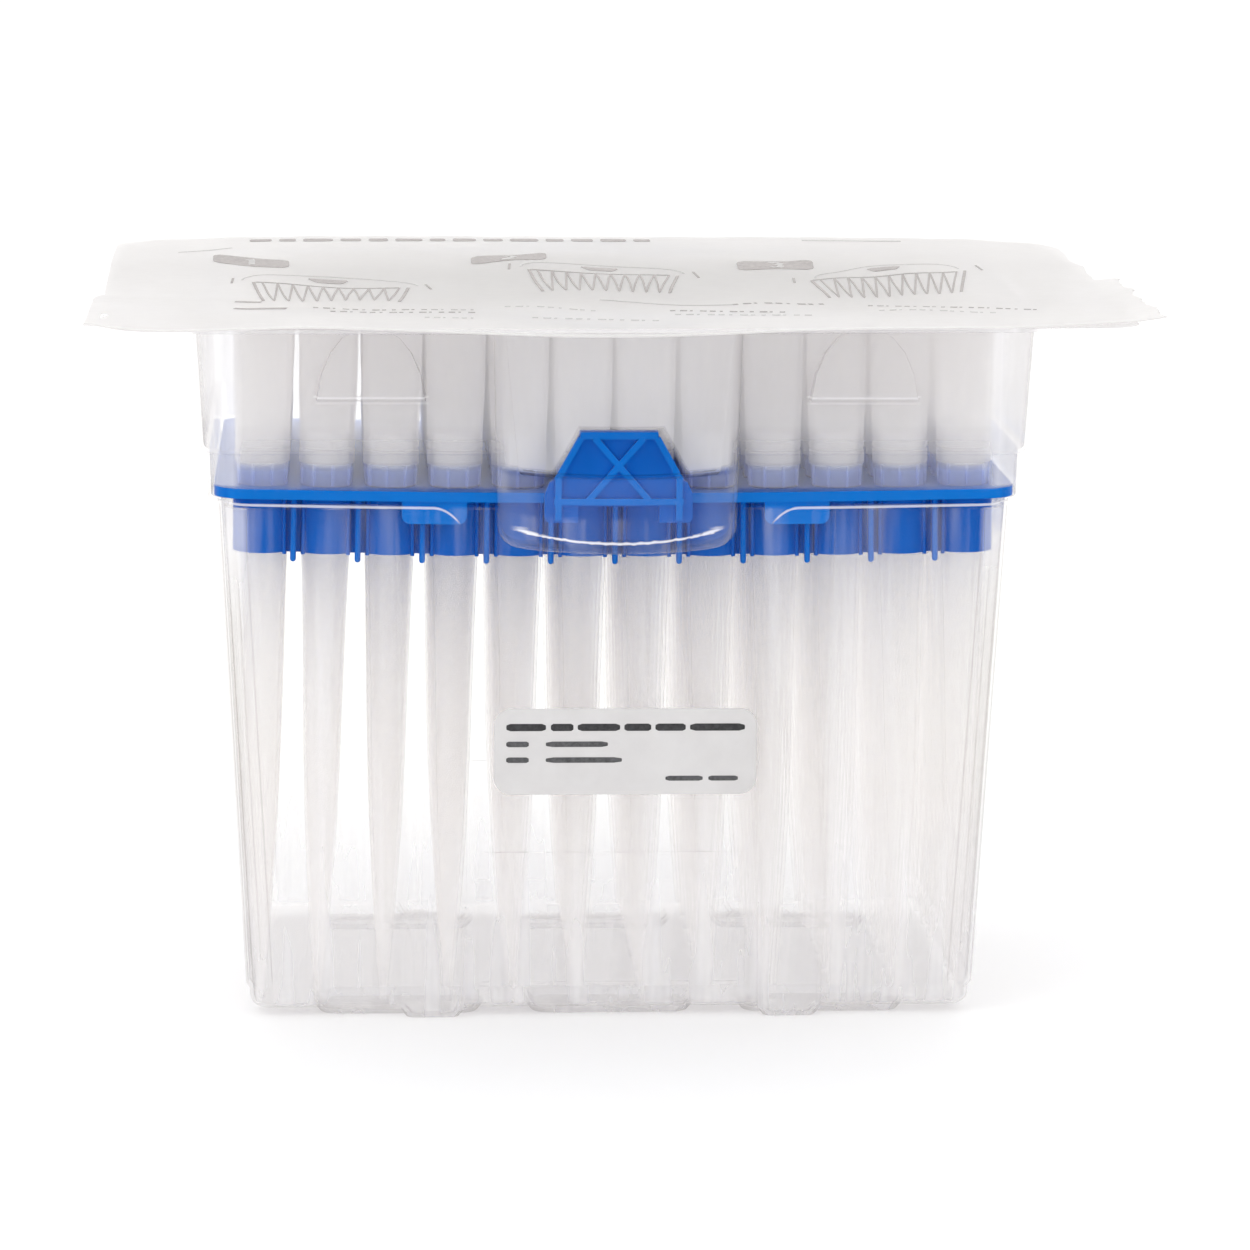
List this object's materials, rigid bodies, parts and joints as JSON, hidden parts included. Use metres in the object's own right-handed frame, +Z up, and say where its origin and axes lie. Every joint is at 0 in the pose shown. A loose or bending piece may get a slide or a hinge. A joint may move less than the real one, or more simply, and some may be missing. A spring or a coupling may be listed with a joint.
{
  "type": "pipette tip refill box",
  "caption": "Sealed clear plastic tray holding a blue rack of long filter pipette tips, closed by a peelable printed lid.",
  "frame": {"origin": "on the table under the middle of the tray, at the height of the feet", "axes": "+Z up, +X along the twelve columns, -Y towards the side with the label"},
  "size_m": [0.146, 0.1116, 0.1014],
  "materials": {
    "clear_sheet": "clear glossy thermoformed sheet",
    "lid_paper": "off-white coated lidding paper, slightly translucent, printed in grey",
    "label_film": "pale grey satin sticker printed in black",
    "blue_plastic": "satin moulded blue polypropylene",
    "natural_plastic": "natural translucent polypropylene",
    "porous_plug": "white porous polyethylene"
  },
  "bodies": {
    "root": {"tray": "clear_sheet", "lid": "lid_paper", "front_label": "label_film", "tip_rack": "blue_plastic", "tips_column_01": "natural_plastic", "tips_column_02": "natural_plastic", "tips_column_03": "natural_plastic", "tips_column_04": "natural_plastic", "tips_column_05": "natural_plastic", "tips_column_06": "natural_plastic", "tips_column_07": "natural_plastic", "tips_column_08": "natural_plastic", "tips_column_09": "natural_plastic", "tips_column_10": "natural_plastic", "tips_column_11": "natural_plastic", "tips_column_12": "natural_plastic", "filters_column_01": "porous_plug", "filters_column_02": "porous_plug", "filters_column_03": "porous_plug", "filters_column_04": "porous_plug", "filters_column_05": "porous_plug", "filters_column_06": "porous_plug", "filters_column_07": "porous_plug", "filters_column_08": "porous_plug", "filters_column_09": "porous_plug", "filters_column_10": "porous_plug", "filters_column_11": "porous_plug", "filters_column_12": "porous_plug"}
  },
  "joints": []
}
